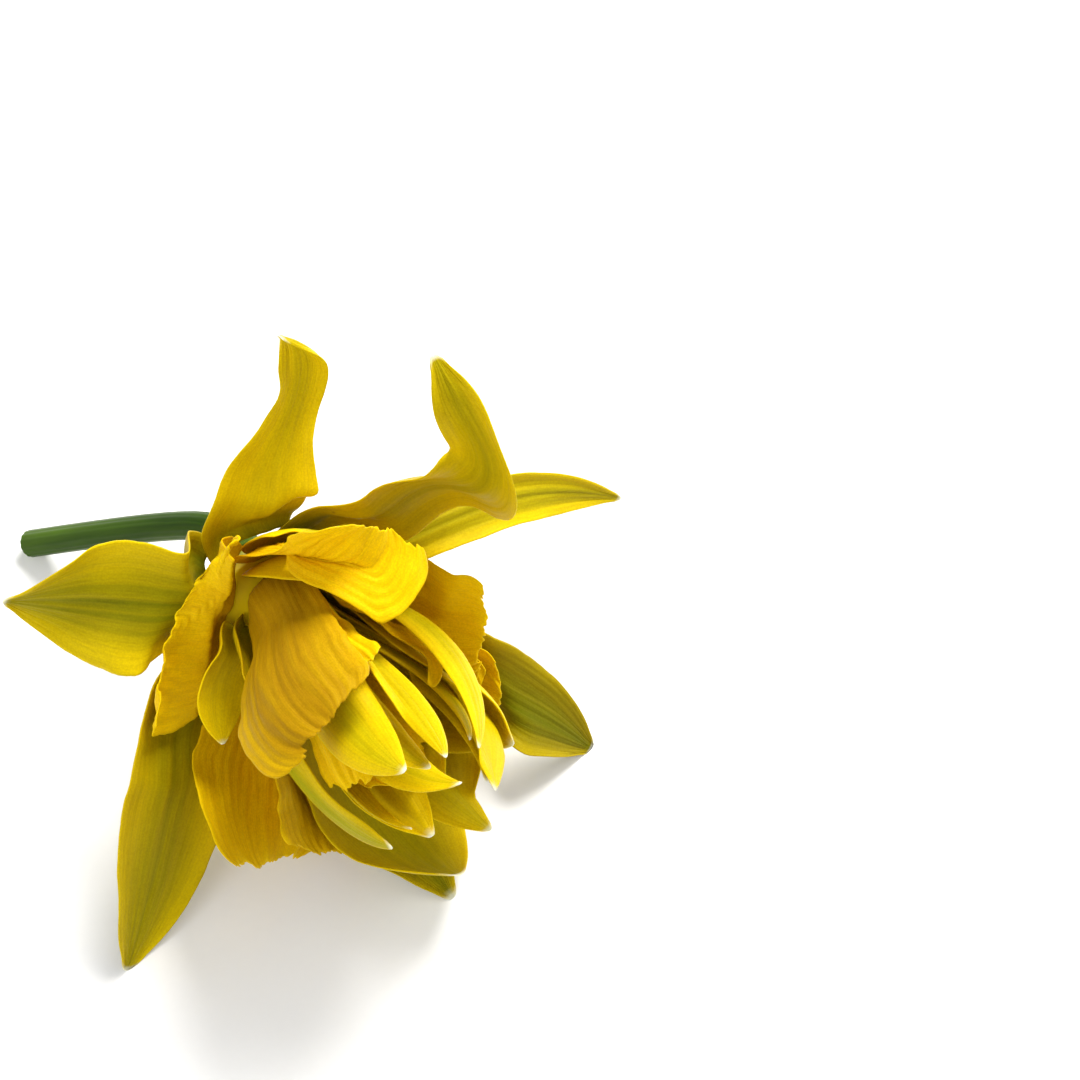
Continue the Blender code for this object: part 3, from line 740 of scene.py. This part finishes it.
class Graph:
    """Short-hand for laying out a node tree."""

    def __init__(self, tree: bpy.types.NodeTree) -> None:
        """Keep the tree."""
        self.tree = tree

    def node(self, kind: str, values: dict[str | int, object] | None = None,
             **options: object) -> bpy.types.Node:
        """Add a node.

        Args:
            kind: its type.
            values: sockets by name or number, each a plain value or the output that feeds it.
            options: its own settings.

        Returns:
            The node.
        """
        made = self.tree.nodes.new(kind)
        for name, value in options.items():
            setattr(made, name, value)
        for key, value in (values or {}).items():
            if isinstance(value, bpy.types.NodeSocket):
                self.tree.links.new(value, made.inputs[key])
            else:
                made.inputs[key].default_value = value
        return made

    def math(self, operation: str, first: object, second: object = 0.0,
             clamp: bool = False) -> bpy.types.NodeSocket:
        """Return the result of a sum on two values."""
        made = self.node("ShaderNodeMath", {0: first, 1: second}, operation=operation, use_clamp=clamp)
        return made.outputs[0]

    def times(self, first: object, second: object) -> bpy.types.NodeSocket:
        """Return one value times another."""
        return self.math("MULTIPLY", first, second)

    def blend(self, factor: object, first: object, second: object,
              mode: str = "MIX") -> bpy.types.NodeSocket:
        """Return two colours blended by a factor."""
        values = {0: factor, 6: first, 7: second}
        return self.node("ShaderNodeMix", values, data_type="RGBA", blend_type=mode).outputs[2]

    def spread(self, factor: object, low: float, high: float, least: float = 0.0,
               most: float = 1.0) -> bpy.types.NodeSocket:
        """Return a value stretched so that low gives the least and high gives the most."""
        return self.node("ShaderNodeMapRange", {0: factor, 1: low, 2: high, 3: least, 4: most}).outputs[0]

    def noise(self, place: object, scale: float, detail: float,
              roughness: float = 0.5) -> bpy.types.NodeSocket:
        """Return the value of a noise at each place."""
        values = {"Vector": place, "Scale": scale, "Detail": detail, "Roughness": roughness}
        return self.node("ShaderNodeTexNoise", values).outputs[0]


@dataclass(frozen=True)
class EffectGroups:
    """Shader effects that several finishes share.

    Args:
        veins: fibres, streaks and their height along the flow.
        cells: grain, mottle and specks over the skin.
    """

    veins: bpy.types.NodeTree
    cells: bpy.types.NodeTree

    @staticmethod
    def sockets(tree: bpy.types.NodeTree, inputs: dict[str, float], outputs: tuple[str, ...]) -> None:
        """Add named value inputs with their defaults, and named value outputs."""
        for name, value in inputs.items():
            made = tree.interface.new_socket(name, in_out="INPUT", socket_type="NodeSocketFloat")
            made.default_value = value
        for name in outputs:
            tree.interface.new_socket(name, in_out="OUTPUT", socket_type="NodeSocketFloat")

    @classmethod
    def make(cls) -> EffectGroups:
        """Build the groups once."""
        return cls(cls.make_veins(), cls.make_cells())

    @classmethod
    def make_veins(cls) -> bpy.types.NodeTree:
        """Fibres and fine veins that run along the flow, with streaks of colour between them."""
        tree = bpy.data.node_groups.new("petal_veins", "ShaderNodeTree")
        tree.interface.new_socket("Flow", in_out="INPUT", socket_type="NodeSocketVector")
        cls.sockets(tree, {"Spacing": 0.5, "Stretch": 12.0}, ("Veins", "Streaks", "Height"))
        graph = Graph(tree)
        given = graph.node("NodeGroupInput").outputs
        part = graph.node("ShaderNodeSeparateXYZ", {0: given["Flow"]}).outputs
        across = graph.math("DIVIDE", part[0], given["Spacing"])
        ahead = graph.math("DIVIDE", graph.math("DIVIDE", part[1], given["Spacing"]), given["Stretch"])
        place = graph.node("ShaderNodeCombineXYZ", {0: across, 1: ahead, 2: part[2]}).outputs[0]
        bend = graph.math("SUBTRACT", graph.noise(place, 0.35, 2.0), 0.5)
        bent = graph.math("ADD", across, graph.times(bend, 2.2))
        wave = graph.math("SINE", graph.times(bent, 2 * math.pi))
        fibre = graph.noise(place, 1.7, 4.0, 0.6)
        ridge = graph.math("ADD", graph.times(wave, 0.10), fibre)
        broad = graph.noise(place, 0.22, 3.0, 0.55)
        height = graph.math("ADD", graph.times(ridge, 0.7), graph.times(broad, 0.8))
        graph.node("NodeGroupOutput", {
            "Veins": graph.spread(ridge, 0.35, 0.95),
            "Streaks": graph.spread(broad, 0.32, 0.68),
            "Height": height})
        return tree

    @classmethod
    def make_cells(cls) -> bpy.types.NodeTree:
        """The sparkling grain of the skin's cells, and scattered specks."""
        tree = bpy.data.node_groups.new("skin_cells", "ShaderNodeTree")
        cls.sockets(tree, {"Size": 0.12, "Specks": 0.1}, ("Grain", "Mottle", "Speck"))
        graph = Graph(tree)
        given = graph.node("NodeGroupInput").outputs
        place = graph.node("ShaderNodeTexCoord").outputs["Object"]
        rate = graph.math("DIVIDE", 1.0 / MM, given["Size"])
        grain = graph.node("ShaderNodeTexVoronoi", {"Vector": place, "Scale": rate}).outputs[0]
        mottle = graph.noise(place, 170.0, 4.0)
        spots = graph.node("ShaderNodeTexVoronoi", {"Vector": place, "Scale": 420.0, "Randomness": 1.0})
        dot = graph.spread(spots.outputs[0], 0.17, 0.09)
        chance = graph.node("ShaderNodeSeparateColor", {0: spots.outputs[1]}).outputs[0]
        chosen = graph.math("LESS_THAN", chance, given["Specks"])
        graph.node("NodeGroupOutput", {
            "Grain": grain,
            "Mottle": graph.spread(mottle, 0.3, 0.7),
            "Speck": graph.times(dot, chosen)})
        return tree


class Skin:
    """A material under way, with the shared veins and cells laid in."""

    relief_depth = 0.12 * MM

    def __init__(self, name: str, effects: EffectGroups, vein: tuple[float, float],
                 cell: tuple[float, float]) -> None:
        """Start the material.

        Args:
            name: its name.
            effects: the shared groups.
            vein: spacing of the veins, mm, and how far they are stretched along the flow.
            cell: size of the grain, mm, and share of cells with a speck.
        """
        self.material = bpy.data.materials.new(name)
        self.material.use_nodes = True
        self.graph = Graph(self.material.node_tree)
        flow = self.graph.node("ShaderNodeAttribute", attribute_name="flow").outputs["Vector"]
        self.veins = self.graph.node(
            "ShaderNodeGroup", {"Flow": flow, "Spacing": vein[0], "Stretch": vein[1]},
            node_tree=effects.veins).outputs
        self.cells = self.graph.node(
            "ShaderNodeGroup", {"Size": cell[0], "Specks": cell[1]}, node_tree=effects.cells).outputs

    def relief(self, strength: float, under: dict[str, object] | None = None) -> bpy.types.NodeSocket:
        """Return the normal of the veins' relief, over another normal if one is given."""
        values = {"Strength": strength, "Distance": self.relief_depth, "Height": self.veins["Height"]}
        return self.graph.node("ShaderNodeBump", values | (under or {})).outputs[0]

    def close(self, colour: object, roughness: tuple[float, float], normal: object,
              settings: dict[str, object]) -> bpy.types.Material:
        """Join the results to the shader.

        Args:
            colour: the base colour.
            roughness: in the hollows and on the ridges of the veins.
            normal: the shaded normal.
            settings: the shader's other inputs by name.

        Returns:
            The material.
        """
        shader = self.material.node_tree.nodes["Principled BSDF"]
        rough = self.graph.spread(self.veins["Height"], 0.4, 1.2, *roughness)
        for name, source in {"Base Color": colour, "Roughness": rough, "Normal": normal}.items():
            self.graph.tree.links.new(source, shader.inputs[name])
        for name, value in settings.items():
            shader.inputs[name].default_value = value
        return self.material


@dataclass(frozen=True)
class PetalFinish:
    """Satin petal skin.

    Args:
        name: the finish's name.
        light: colour of the lit blade.
        deep: colour between the veins.
        green: colour of the flame along the middle.
        painted_shade: colour of the painted shade, a dark dull ochre, on petals that lie in shade.
        blush: colour towards the base.
        nib: colour of the tip.
        vein: spacing of the fine veins, mm.
        bump: strength of the veins' relief.
        roughness: lowest and highest.
        specks: share of cells with a brown speck.
    """

    name: str
    light: Colour
    deep: Colour
    green: Colour
    painted_shade: Colour
    blush: Colour
    nib: Colour = (0.90, 0.88, 0.66, 1.0)
    vein: float = 0.55
    bump: float = 0.35
    roughness: tuple[float, float] = (0.42, 0.62)
    specks: float = 0.012

    def make(self, effects: EffectGroups) -> bpy.types.Material:
        """Build the material.

        Args:
            effects: the shared groups.

        Returns:
            The material.
        """
        skin = Skin(self.name, effects, (self.vein, 14.0), (0.30, self.specks))
        graph, streaks, cells = skin.graph, skin.veins["Streaks"], skin.cells
        tone = graph.node("ShaderNodeAttribute", attribute_name="tone")
        part = graph.node("ShaderNodeSeparateColor", {0: tone.outputs["Color"]}).outputs
        colour = graph.blend(graph.times(streaks, 0.5), self.light, self.deep)
        colour = graph.blend(graph.times(tone.outputs["Alpha"], 0.85), colour, self.blush)
        # painted shade: blends towards the finish's dark ochre by the petal's shade strength
        shade_share = graph.times(part[2], graph.math("ADD", graph.times(streaks, 0.12), 0.82))
        colour = graph.blend(shade_share, colour, self.painted_shade)
        uneven = graph.math("ADD", graph.times(streaks, 0.2), 0.84)
        flame = graph.math("MULTIPLY", part[0], uneven, clamp=True)
        colour = graph.blend(flame, colour, self.green)
        shades = (
            (graph.times(graph.spread(cells["Grain"], 0.15, 0.75), 0.30), GRAIN_SHADE),
            (graph.times(skin.veins["Veins"], 0.30), FIBRE_SHADE),
            (graph.times(cells["Mottle"], 0.16), PATCH_SHADE),
        )
        for strength, shade in shades:
            colour = graph.blend(strength, colour, shade, "MULTIPLY")
        colour = graph.blend(graph.times(cells["Speck"], 0.7), colour, PETAL_SPECK)
        colour = graph.blend(part[1], colour, self.nib)
        grain = graph.node("ShaderNodeBump", {
            "Strength": 0.10, "Distance": 0.04 * MM, "Height": cells["Grain"]})
        normal = skin.relief(self.bump, {"Normal": grain.outputs[0]})
        return skin.close(colour, self.roughness, normal, {
            "Specular IOR Level": 0.16,
            "Specular Tint": (1.0, 0.86, 0.12, 1.0),
            "Subsurface Weight": 0.22,
            "Subsurface Radius": (1.0, 0.85, 0.05),
            "Subsurface Scale": 0.8 * MM})


TEPAL_FINISH = PetalFinish(
    name="tepal_lemon",
    light=(0.78, 0.59, 0.003, 1.0),
    deep=(0.62, 0.47, 0.002, 1.0),
    green=(0.125, 0.145, 0.002, 1.0),
    painted_shade=(0.18, 0.135, 0.003, 1.0),
    blush=(0.64, 0.44, 0.002, 1.0),
)
INNER_FINISH = PetalFinish(
    name="inner_lemon",
    light=(0.86, 0.635, 0.003, 1.0),
    deep=(0.70, 0.48, 0.002, 1.0),
    green=(0.30, 0.32, 0.003, 1.0),
    painted_shade=(0.33, 0.235, 0.003, 1.0),
    blush=(0.62, 0.37, 0.002, 1.0),
    specks=0.004,
)
CORONA_FINISH = PetalFinish(
    name="corona_gold",
    light=(0.93, 0.63, 0.002, 1.0),
    deep=(0.78, 0.455, 0.002, 1.0),
    green=(0.46, 0.37, 0.003, 1.0),
    painted_shade=(0.27, 0.130, 0.002, 1.0),
    blush=(0.58, 0.28, 0.001, 1.0),
    vein=0.32,
    bump=0.4,
    roughness=(0.46, 0.66),
    specks=0.002,
)


@dataclass(frozen=True)
class StemFinish:
    """Waxy green skin with fine lengthwise lines.

    Args:
        name: the finish's name.
        light: colour of the ribs.
        dark: colour between them.
        bloom: colour of the waxy bloom.
        pith: colour of the end: the cut face, or the top of the dome.
        cut: whether that end is a cut face, grained with the ribs' colour.
    """

    name: str
    light: Colour
    dark: Colour
    bloom: Colour
    pith: Colour = (0.42, 0.47, 0.20, 1.0)
    cut: bool = False

    def make(self, effects: EffectGroups) -> bpy.types.Material:
        """Build the material.

        Args:
            effects: the shared groups.

        Returns:
            The material.
        """
        skin = Skin(self.name, effects, (0.6, 20.0), (0.1, 0.01))
        graph, cells = skin.graph, skin.cells
        end = graph.node("ShaderNodeAttribute", attribute_name="end").outputs["Fac"]
        colour = graph.blend(skin.veins["Streaks"], self.light, self.dark)
        colour = graph.blend(graph.times(skin.veins["Veins"], 0.35), colour, self.light)
        colour = graph.blend(graph.times(cells["Mottle"], 0.3), colour, self.bloom)
        colour = graph.blend(graph.times(cells["Speck"], 0.6), colour, STEM_SPECK)
        face = self.pith
        if self.cut:
            face = graph.blend(graph.spread(cells["Grain"], 0.1, 0.6), self.pith, self.light)
        colour = graph.blend(end, colour, face)
        return skin.close(colour, (0.36, 0.52), skin.relief(0.3), {
            "Specular IOR Level": 0.11,
            "Specular Tint": (0.85, 1.0, 0.45, 1.0),
            "Subsurface Weight": 0.1,
            "Subsurface Radius": (0.5, 1.0, 0.15),
            "Subsurface Scale": 1.0 * MM})


STALK_FINISH = StemFinish("stalk_wax", (0.062, 0.125, 0.003, 1.0), (0.014, 0.040, 0.002, 1.0),
                          (0.024, 0.052, 0.005, 1.0), cut=True)
OVARY_FINISH = StemFinish("ovary_skin", (0.095, 0.150, 0.008, 1.0), (0.035, 0.075, 0.006, 1.0),
                          (0.060, 0.105, 0.020, 1.0))
TUBE_FINISH = StemFinish("tube_skin", (0.42, 0.37, 0.006, 1.0), (0.19, 0.22, 0.005, 1.0),
                         (0.30, 0.29, 0.012, 1.0), pith=(0.66, 0.48, 0.003, 1.0))


@dataclass
class Receptacle:
    """The domed perianth tube and the ovary behind it, turned about the flower's axis.

    Args:
        frame: the flower's directions.
        tube_finish: the tube's material.
        ovary_finish: the ovary's material.
        dome_edge: angle from the axis where the dome ends.
        flank: radius and height down the tube's side.
        ovary: radius and height down the ovary.
        around: points round each ring.
        ribs: soft sides of both pieces.
        flow_radius: radius at which the skin's lines are laid out.
    """

    frame: FlowerFrame
    tube_finish: bpy.types.Material
    ovary_finish: bpy.types.Material
    dome_edge: float = 62.0
    flank: tuple[tuple[float, float], ...] = ((7.7, 2.4), (5.8, 0.4), (4.2, -1.0), (3.4, -1.9))
    ovary: tuple[tuple[float, float], ...] = (
        (0.0, -2.2), (3.2, -2.2), (3.8, -3.5), (3.8, -5.1), (3.1, -6.9), (2.2, -7.8), (0.0, -7.8))
    around: int = 96
    ribs: int = 6
    flow_radius: float = 3.5

    def turned(self, name: str, profile: Array, rib: float, finish: bpy.types.Material) -> None:
        """Build one turned piece whose six sides stand out softly.

        Args:
            name: the CAD node it stands for.
            profile: radius and height down the outer side, first and last on the axis.
            rib: how far the furrows between the ribs go in, mm.
            finish: its material.
        """
        turn = np.arange(self.around) * 2 * math.pi / self.around
        inner = profile[1:-1]
        rows = len(inner)
        furrow = 1 - np.abs(np.cos(0.5 * self.ribs * turn)) ** 0.6
        body = np.sin(np.linspace(0, math.pi, rows)) ** 0.7
        radius = inner[:, :1] - rib * body[:, None] * furrow[None, :]
        height = np.repeat(inner[:, 1:], self.around, 1)
        ring = np.stack([radius * np.cos(turn), radius * np.sin(turn), height], -1)
        points = np.concatenate([[[0, 0, profile[0, 1]]], ring.reshape(-1, 3), [[0, 0, profile[-1, 1]]]])
        index = 1 + np.arange(rows * self.around).reshape(rows, self.around)
        after = np.roll(index, -1, axis=1)
        sides = np.stack([index[:-1], index[1:], after[1:], after[:-1]], -1).reshape(-1, 4).tolist()
        last = len(points) - 1
        top = [(0, int(a), int(b)) for a, b in zip(index[0], after[0])]
        foot = [(last, int(b), int(a)) for a, b in zip(index[-1], after[-1])]
        mesh = bpy.data.meshes.new(name)
        flipped = np.array([-1.0, 1.0, 1.0])
        mesh.from_pydata(self.frame.to_world(points * flipped).tolist(), [], sides + top + foot)
        angle = np.concatenate([[0.0], np.tile(turn, rows), [0.0]])
        aside, ahead = self.flow_radius * np.cos(angle), self.flow_radius * np.sin(angle)
        write_points(mesh, "flow", "FLOAT_VECTOR", np.stack([aside, points[:, 2], ahead], -1))
        write_points(mesh, "end", "FLOAT", np.clip((points[:, 2] - 1.0) / 2.5, 0.0, 1.0))
        smooth_faces(mesh)
        mesh.materials.append(finish)
        settle(mesh, name + "_skin", name)

    @staticmethod
    def smooth(profile: list[tuple[float, float]], count: int) -> Array:
        """Return a profile read smoothly at more places, its ends kept."""
        inner = along(np.array(profile[1:-1]), np.linspace(0, 1, count))
        return np.concatenate([[profile[0]], inner, [profile[-1]]])

    def build(self) -> None:
        """Build both pieces."""
        angles = np.radians(np.linspace(0, self.dome_edge, 24))
        cap = [(self.frame.dome * math.sin(a), self.frame.dome * math.cos(a)) for a in angles]
        flank = self.smooth([cap[-2], cap[-1], *self.flank, (0.0, self.flank[-1][1])], 26)[1:]
        tube = np.concatenate([np.array(cap[:-1]), flank])
        self.turned("perianth_tube", tube, 0.25, self.tube_finish)
        self.turned("ovary", self.smooth(list(self.ovary), 40), 0.35, self.ovary_finish)


@dataclass
class Stalk:
    """The ribbed stalk, swept along its bend by a node tree.

    Args:
        frame: the flower's directions.
        finish: its material.
        radius: over the ribs.
        ribs: how many.
        rib_depth: depth of the furrows.
        top: distance of its top behind the dome's centre.
        neck: straight length below the top.
        end: middle of the cut end from the throat, in world directions.
        reach: length of the bend's lower handle.
        points: stations of the route.
        lift: how far the whole stalk is raised off the surface.
        rings: stations of the swept stalk.
        around: points round its section.
        cap_sides: a face with more sides than this is a cut end.
    """

    frame: FlowerFrame
    finish: bpy.types.Material
    radius: float = 2.15
    ribs: int = 14
    rib_depth: float = 0.07
    top: float = 8.4
    neck: float = 3.0
    end: tuple[float, float, float] = (-43.0, 27.85, -27.92)
    reach: float = 24.0
    points: int = 12
    lift: float = 0.01
    rings: int = 90
    around: int = 84
    cap_sides: int = 5

    def path(self) -> Array:
        """Return the route from the ovary to the cut end, in metres."""
        top = np.array([0.0, 0.0, -self.top])
        neck = top - np.array([0.0, 0.0, self.neck])
        end = np.array(self.end) @ self.frame.directions() + np.array([0.0, 0.0, self.frame.dome])
        ease = end + self.reach * unit(neck - end)
        t = np.linspace(0, 1, self.points)[:, None]
        curve = (1 - t) ** 3 * top + 3 * (1 - t) ** 2 * t * neck + 3 * (1 - t) * t ** 2 * ease + t ** 3 * end
        return self.frame.to_world(curve) + np.array([0.0, 0.0, self.lift * MM])

    def section(self, graph: Graph, given: bpy.types.NodeOutputs, full: object) -> bpy.types.NodeSocket:
        """Return the ribbed section, for a turn of the whole circle in radians."""
        values = {"Resolution": self.around, "Radius": given["Radius"]}
        circle = graph.node("GeometryNodeCurvePrimitiveCircle", values)
        wave = graph.math("SUBTRACT", graph.math("COSINE", graph.times(full, given["Ribs"])), 1.0)
        furrow = graph.times(wave, graph.times(given["Rib Depth"], 0.5))
        share = graph.math("DIVIDE", furrow, given["Radius"])
        position = graph.node("GeometryNodeInputPosition").outputs[0]
        offset = graph.node("ShaderNodeVectorMath", {0: position, "Scale": share}, operation="SCALE")
        values = {"Geometry": circle.outputs["Curve"], "Offset": offset.outputs[0]}
        return graph.node("GeometryNodeSetPosition", values).outputs[0]

    @staticmethod
    def keep(graph: Graph, geometry: object, name: str, value: object) -> bpy.types.NodeOutputs:
        """Keep a value on the geometry's points under a name, and return both outputs."""
        made = graph.node("GeometryNodeCaptureAttribute", {"Geometry": geometry}, domain="POINT")
        made.capture_items.new("FLOAT", name)
        graph.tree.links.new(value, made.inputs[name])
        return made.outputs

    @staticmethod
    def store(graph: Graph, geometry: object, name: str, value: object, kind: str,
              domain: str) -> bpy.types.NodeSocket:
        """Store a named attribute and return the geometry."""
        values = {"Geometry": geometry, "Name": name, "Value": value}
        made = graph.node("GeometryNodeStoreNamedAttribute", values, data_type=kind, domain=domain)
        return made.outputs[0]

    def tree(self) -> bpy.types.NodeTree:
        """Build the tree that sweeps a ribbed section along a curve."""
        tree = bpy.data.node_groups.new("ribbed_stalk", "GeometryNodeTree")
        sockets = tree.interface
        sockets.new_socket("Geometry", in_out="INPUT", socket_type="NodeSocketGeometry")
        for name in ("Radius", "Ribs", "Rib Depth"):
            sockets.new_socket(name, in_out="INPUT", socket_type="NodeSocketFloat")
        sockets.new_socket("Finish", in_out="INPUT", socket_type="NodeSocketMaterial")
        sockets.new_socket("Geometry", in_out="OUTPUT", socket_type="NodeSocketGeometry")
        graph = Graph(tree)
        given = graph.node("NodeGroupInput").outputs
        path = graph.node("GeometryNodeResampleCurve", {"Curve": given["Geometry"], "Count": self.rings})
        length = graph.node("GeometryNodeSplineParameter").outputs["Length"]
        route = self.keep(graph, path.outputs["Curve"], "Length", length)
        turn = graph.node("GeometryNodeSplineParameter").outputs["Factor"]
        full = graph.times(turn, 2 * math.pi)
        ring = self.keep(graph, self.section(graph, given, full), "Turn", full)
        sweep = graph.node("GeometryNodeCurveToMesh", {
            "Curve": route["Geometry"], "Profile Curve": ring["Geometry"], "Fill Caps": True})
        flow = graph.node("ShaderNodeCombineXYZ", {
            0: graph.times(graph.math("COSINE", ring["Turn"]), self.radius),
            1: graph.times(route["Length"], 1.0 / MM),
            2: graph.times(graph.math("SINE", ring["Turn"]), self.radius)}).outputs[0]
        flowing = self.store(graph, sweep.outputs[0], "flow", flow, "FLOAT_VECTOR", "POINT")
        sides = graph.node("GeometryNodeInputMeshFaceNeighbors").outputs["Vertex Count"]
        capped = graph.math("GREATER_THAN", sides, float(self.cap_sides))
        ended = self.store(graph, flowing, "end", capped, "FLOAT", "FACE")
        whole = graph.node("GeometryNodeRealizeInstances", {"Geometry": ended}).outputs[0]
        dressed = graph.node("GeometryNodeSetMaterial", {"Geometry": whole, "Material": given["Finish"]})
        graph.node("NodeGroupOutput", {0: dressed.outputs[0]})
        return tree

    def build(self) -> None:
        """Sweep the stalk, turn it into a plain mesh and dress it."""
        curve = bpy.data.curves.new("stalk_route", "CURVE")
        curve.dimensions = "3D"
        spline = curve.splines.new("POLY")
        route = self.path()
        spline.points.add(len(route) - 1)
        for point, place in zip(spline.points, route):
            point.co = (*place, 1.0)
        carrier = bpy.data.objects.new("stalk_route", curve)
        bpy.context.scene.collection.objects.link(carrier)
        modifier = carrier.modifiers.new("sweep", "NODES")
        modifier.node_group = self.tree()
        values = {"Radius": self.radius * MM, "Ribs": float(self.ribs), "Rib Depth": self.rib_depth * MM,
                  "Finish": self.finish}
        for item in modifier.node_group.interface.items_tree:
            if item.in_out == "INPUT" and item.name in values:
                modifier[item.identifier] = values[item.name]
        graph = bpy.context.evaluated_depsgraph_get()
        mesh = bpy.data.meshes.new_from_object(carrier.evaluated_get(graph), depsgraph=graph)
        bpy.data.objects.remove(carrier, do_unlink=True)
        smooth = [len(face.vertices) <= self.cap_sides for face in mesh.polygons]
        mesh.polygons.foreach_set("use_smooth", smooth)
        mesh.materials.clear()
        mesh.materials.append(self.finish)
        settle(mesh, "flower_stalk_skin", "flower_stalk")


@dataclass(frozen=True)
class Lamp:
    """One soft round light that looks at the flower.

    Args:
        name: its name.
        place: where it hangs, metres.
        size: its diameter, metres.
        power: in watts.
        colour: of its light.
    """

    name: str
    place: tuple[float, float, float]
    size: float
    power: float
    colour: tuple[float, float, float]

    def hang(self) -> None:
        """Make the light and turn it to the middle of the flower."""
        data = bpy.data.lights.new(self.name, "AREA")
        data.shape = "DISK"
        data.size = self.size
        data.energy = self.power
        data.color = self.colour
        lamp = bpy.data.objects.new(self.name, data)
        back = unit(np.array(self.place) - np.array([0.0, 0.0, 0.03]))
        right = unit(np.cross(np.array([0.0, 0.0, 1.0]), back))
        matrix = np.eye(4)
        matrix[:3] = np.stack([right, np.cross(back, right), back, self.place], axis=1)
        lamp.matrix_world = matrix.T.tolist()
        bpy.context.scene.collection.objects.link(lamp)


LAMPS = (
    Lamp("key_light", (0.22, 0.40, 0.60), 0.34, 7.8, (1.0, 0.985, 0.96)),
    Lamp("fill_light", (-0.45, -0.42, 0.45), 0.7, 3.2, (1.0, 0.99, 0.97)),
    Lamp("side_light", (0.6, 0.1, 0.35), 0.5, 1.2, (1.0, 0.99, 0.97)),
)


@dataclass(frozen=True)
class Studio:
    """A plain pale floor, soft lights and the camera.

    Args:
        centre: the point the camera looks at, metres.
        distance: from there to the camera.
        elevation: of the camera.
        lens: focal length on the sensor, mm.
        sensor: the sensor's width, mm.
        half_floor: half the floor's side, metres.
    """

    centre: tuple[float, float, float] = (0.034073, 0.015639, 0.034957)
    distance: float = 0.428571
    elevation: float = 60.0
    lens: float = 100.0
    sensor: float = 36.0
    half_floor: float = 3.0

    def floor(self) -> None:
        """Lay the pale floor."""
        mesh = bpy.data.meshes.new("floor")
        corners = ((-1, -1), (1, -1), (1, 1), (-1, 1))
        points = [(x * self.half_floor, y * self.half_floor, 0.0) for x, y in corners]
        mesh.from_pydata(points, [], [(0, 1, 2, 3)])
        material = bpy.data.materials.new("floor_paper")
        material.use_nodes = True
        graph = Graph(material.node_tree)
        shader = material.node_tree.nodes["Principled BSDF"]
        tooth = graph.noise(graph.node("ShaderNodeTexCoord").outputs["Object"], 900.0, 3.0)
        colour = graph.blend(tooth, (0.90, 0.90, 0.895, 1.0), (0.88, 0.88, 0.875, 1.0))
        material.node_tree.links.new(colour, shader.inputs["Base Color"])
        shader.inputs["Roughness"].default_value = 0.9
        shader.inputs["Specular IOR Level"].default_value = 0.1
        mesh.materials.append(material)
        floor = bpy.data.objects.new("floor", mesh)
        bpy.context.scene.collection.objects.link(floor)

    @staticmethod
    def sky() -> None:
        """Light the scene softly from all round."""
        world = bpy.data.worlds.new("studio_sky")
        world.use_nodes = True
        background = world.node_tree.nodes["Background"].inputs
        background["Color"].default_value = (0.95, 0.97, 1.0, 1.0)
        background["Strength"].default_value = 0.5
        bpy.context.scene.world = world

    def camera(self) -> None:
        """Set the camera above and in front of the flower."""
        data = bpy.data.cameras.new("camera")
        data.lens = self.lens
        data.sensor_width = self.sensor
        data.clip_start = 0.01
        data.clip_end = 20.0
        camera = bpy.data.objects.new("camera", data)
        tilt = math.radians(self.elevation)
        camera.location = (self.centre[0], self.centre[1] - self.distance * math.cos(tilt),
                           self.centre[2] + self.distance * math.sin(tilt))
        camera.rotation_euler = (math.radians(90.0 - self.elevation), 0.0, 0.0)
        bpy.context.scene.collection.objects.link(camera)
        bpy.context.scene.camera = camera

    def build(self) -> None:
        """Set up floor, lights, sky and camera."""
        self.floor()
        for lamp in LAMPS:
            lamp.hang()
        self.sky()
        self.camera()
        bpy.context.scene.view_settings.view_transform = "Standard"


def main() -> None:
    """Build the flower in order, logging each piece's face count."""
    logging.basicConfig(level=logging.INFO, format="%(name)s: %(message)s")
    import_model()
    effects = EffectGroups.make()
    frame = FlowerFrame()
    tepal = TEPAL_FINISH.make(effects)
    finishes = {
        Habit.OUTER: tepal,
        Habit.TWISTED: tepal,
        Habit.INNER: INNER_FINISH.make(effects),
        Habit.CORONA: CORONA_FINISH.make(effects),
    }
    Bloom(frame, finishes).build()
    Receptacle(frame, TUBE_FINISH.make(effects), OVARY_FINISH.make(effects)).build()
    Stalk(frame, STALK_FINISH.make(effects)).build()
    Studio().build()
    bpy.context.view_layer.update()


if __name__ == "__main__":
    main()
